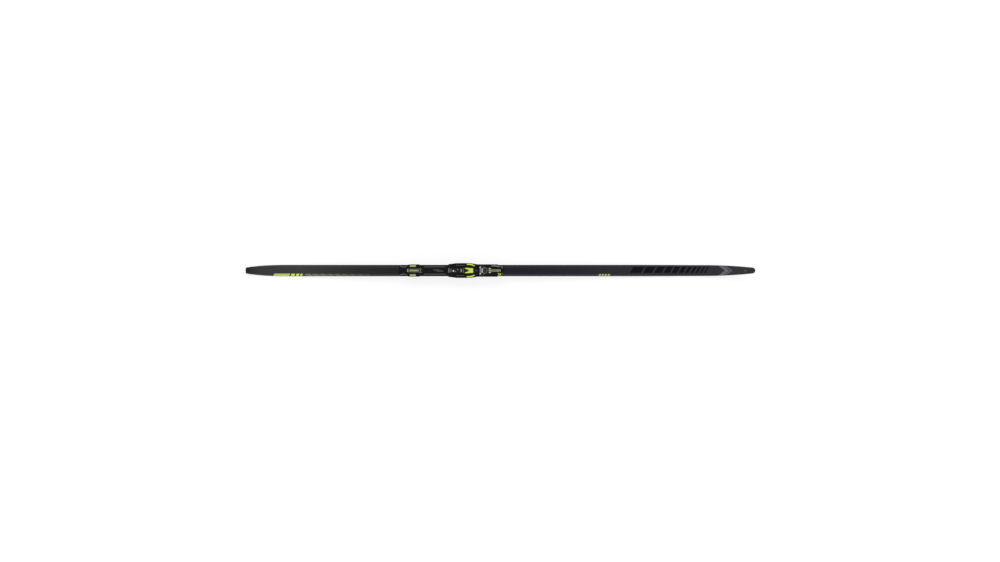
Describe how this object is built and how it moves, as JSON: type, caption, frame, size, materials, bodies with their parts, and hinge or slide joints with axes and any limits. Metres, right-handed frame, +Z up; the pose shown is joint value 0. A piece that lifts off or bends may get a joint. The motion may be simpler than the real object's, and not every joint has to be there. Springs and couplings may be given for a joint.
{
  "type": "cross country ski",
  "caption": "Black classic cross country ski with camber and upturned tip, carrying a slide-on toe and heel binding with lime pads, steel jaws and a turn lever.",
  "frame": {"origin": "on the floor under the middle of the ski's length and width", "axes": "+X along the ski towards its tip, +Y to the skier's left, +Z up out of the top sheet"},
  "size_m": [1.97, 0.0582, 0.073],
  "materials": {
    "running_base_black": "structured polyethylene base",
    "fibre_laminate": "resin and fibre layer",
    "core_wood": "light core wood with milled air channels in the real ski",
    "sidewall_black": "satin sidewall",
    "top_sheet_black": null,
    "end_cap_plastic": "moulded end piece",
    "plate_plastic": "moulded plate bonded to the ski",
    "binding_plastic": "glass filled moulding, fine grain",
    "pad_rubber": "matt rubber",
    "lime_plastic": "lime moulding",
    "lime_rubber": "lime rubber",
    "grey_plastic": "grey green moulding",
    "flexor_rubber": "dense rubber",
    "jaw_steel": "brushed stainless steel",
    "pin_steel": "turned steel",
    "spring_steel": "spring wire",
    "bush_polymer": "bearing polymer"
  },
  "bodies": {
    "ski": {"running_base": "running_base_black", "base_laminate": "fibre_laminate", "core": "core_wood", "tail_spacer": "end_cap_plastic", "tip_spacer": "end_cap_plastic", "left_sidewall": "sidewall_black", "right_sidewall": "sidewall_black", "top_laminate": "fibre_laminate", "top_sheet": "top_sheet_black", "tip_protector": "end_cap_plastic", "tail_protector": "end_cap_plastic", "binding_plate": "plate_plastic"},
    "toe_unit": {"toe_chassis": "binding_plastic", "toe_platform": "binding_plastic", "grip_pad": "pad_rubber", "rubber_plug": "pad_rubber", "left_toe_wing": "lime_plastic", "right_toe_wing": "lime_plastic", "fixed_jaw": "jaw_steel", "left_jaw_screw": "pin_steel", "right_jaw_screw": "pin_steel", "flexor": "flexor_rubber", "nose_cover": "binding_plastic", "lever_bush": "bush_polymer", "toe_latch_pin": "pin_steel", "toe_latch_spring": "spring_steel"},
    "turn_lever": {"turn_lever": "binding_plastic", "lever_inlay": "grey_plastic", "lever_cam": "pin_steel", "lever_screw": "pin_steel"},
    "sliding_jaw": {"sliding_jaw": "jaw_steel"},
    "toe_latch": {"toe_latch": "lime_plastic"},
    "heel_unit": {"heel_chassis": "binding_plastic", "heel_cover": "binding_plastic", "left_heel_pad": "lime_rubber", "right_heel_pad": "lime_rubber", "heel_latch_pin": "pin_steel", "heel_latch_spring": "spring_steel"},
    "heel_latch": {"heel_latch": "grey_plastic"}
  },
  "joints": [
    {"name": "toe_unit_slide", "type": "slide", "parent": "ski", "child": "toe_unit", "axis": [1, 0, 0], "range_m": [0, 0.015]},
    {"name": "lever_turn", "type": "hinge", "parent": "toe_unit", "child": "turn_lever", "pos_m": [-0.036, 0, 0.0589], "axis": [0, 0, -1], "range_deg": [0, 80]},
    {"name": "jaw_slide", "type": "slide", "parent": "toe_unit", "child": "sliding_jaw", "axis": [-1, 0, 0], "range_m": [0, 0.00515]},
    {"name": "toe_latch_lift", "type": "hinge", "parent": "toe_unit", "child": "toe_latch", "pos_m": [-0.105, 0, 0.0554], "axis": [0, 1, 0], "range_deg": [0, 22], "stiffness_Nm_per_rad": 0.08},
    {"name": "heel_unit_slide", "type": "slide", "parent": "ski", "child": "heel_unit", "axis": [1, 0, 0], "range_m": [-0.015, 0]},
    {"name": "heel_latch_lift", "type": "hinge", "parent": "heel_unit", "child": "heel_latch", "pos_m": [-0.307, 0, 0.0554], "axis": [0, 1, 0], "range_deg": [0, 22], "stiffness_Nm_per_rad": 0.08}
  ],
  "couplings": [
    {"joint": "jaw_slide", "follows": "lever_turn", "m_per_rad": 0.003683}
  ]
}
